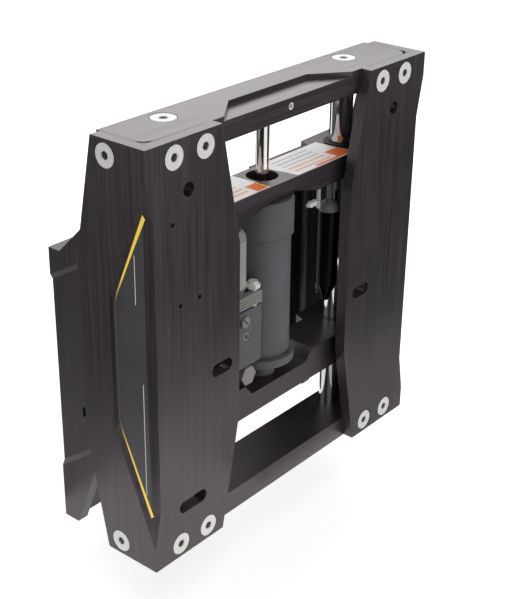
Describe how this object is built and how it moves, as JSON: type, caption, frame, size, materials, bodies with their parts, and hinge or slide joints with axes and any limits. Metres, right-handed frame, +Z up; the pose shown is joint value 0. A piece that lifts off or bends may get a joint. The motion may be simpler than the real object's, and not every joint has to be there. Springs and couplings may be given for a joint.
{
  "type": "hydraulic outboard jack plate",
  "caption": "Black lift bracket for an outboard motor: angle brackets slide on chromed guide rods, raised by a hydraulic ram.",
  "frame": {"origin": "middle of the two upper transom bolt holes, on the face that rests on the transom", "axes": "+X to starboard, +Y from the motor towards the boat, +Z up"},
  "size_m": [0.4374, 0.1524, 0.457],
  "materials": {
    "black_anodised": "black anodised, satin",
    "hard_chrome": "ground and hard chromed",
    "stainless": "satin stainless",
    "cast_grey": "cast, painted dark grey",
    "bush_plastic": "bearing plastic",
    "seal_rubber": "matt",
    "piston_alloy": "turned",
    "black_steel": "blackened",
    "motor_shell": "satin paint",
    "can_black": "moulded",
    "can_dome": "moulded",
    "tube_clear": "soft tube"
  },
  "bodies": {
    "carriage": {"transom_bracket_left": "black_anodised", "transom_bracket_right": "black_anodised", "upper_cross_bar": "black_anodised", "lower_cross_bar": "black_anodised", "guide_bush_upper_left": "bush_plastic", "guide_bush_lower_left": "bush_plastic", "guide_bush_upper_right": "bush_plastic", "guide_bush_lower_right": "bush_plastic", "rod_wiper_left": "seal_rubber", "rod_wiper_right": "seal_rubber", "cross_bar_screws_upper": "stainless", "cross_bar_screws_lower": "stainless", "ram_foot_screw": "stainless", "cylinder_barrel": "cast_grey", "cylinder_head": "cast_grey", "ram_wiper": "seal_rubber", "valve_block": "cast_grey", "port_plug": "black_steel", "pressure_fitting": "stainless", "block_washer": "black_steel", "block_bolt": "black_steel", "pump_body": "cast_grey", "pump_motor": "motor_shell", "motor_end_cap": "black_steel", "reservoir_can": "can_black", "reservoir_dome": "can_dome", "transfer_elbow": "stainless", "transfer_tube": "tube_clear"},
    "lift_frame": {"motor_bracket_left": "black_anodised", "motor_bracket_right": "black_anodised", "top_bar": "black_anodised", "bottom_bar": "black_anodised", "guide_rod_left": "hard_chrome", "guide_rod_right": "hard_chrome", "piston_rod": "hard_chrome", "piston": "piston_alloy", "piston_seal": "seal_rubber", "rod_set_screw": "stainless", "face_screws_top": "stainless", "face_screws_bottom": "stainless", "side_screws_top": "stainless", "side_screws_bottom": "stainless", "rod_screws_top": "stainless", "rod_screws_bottom": "stainless"},
    "release_valve": {"release_valve_screw": "black_steel"}
  },
  "joints": [
    {"name": "lift", "type": "slide", "parent": "carriage", "child": "lift_frame", "axis": [0, 0, 1], "range_m": [-0.0655, 0.0742]},
    {"name": "release_valve_turn", "type": "hinge", "parent": "carriage", "child": "release_valve", "pos_m": [-0.056, -0.1284, -0.0585], "axis": [0, -1, 0], "range_deg": [0, 1080]}
  ]
}
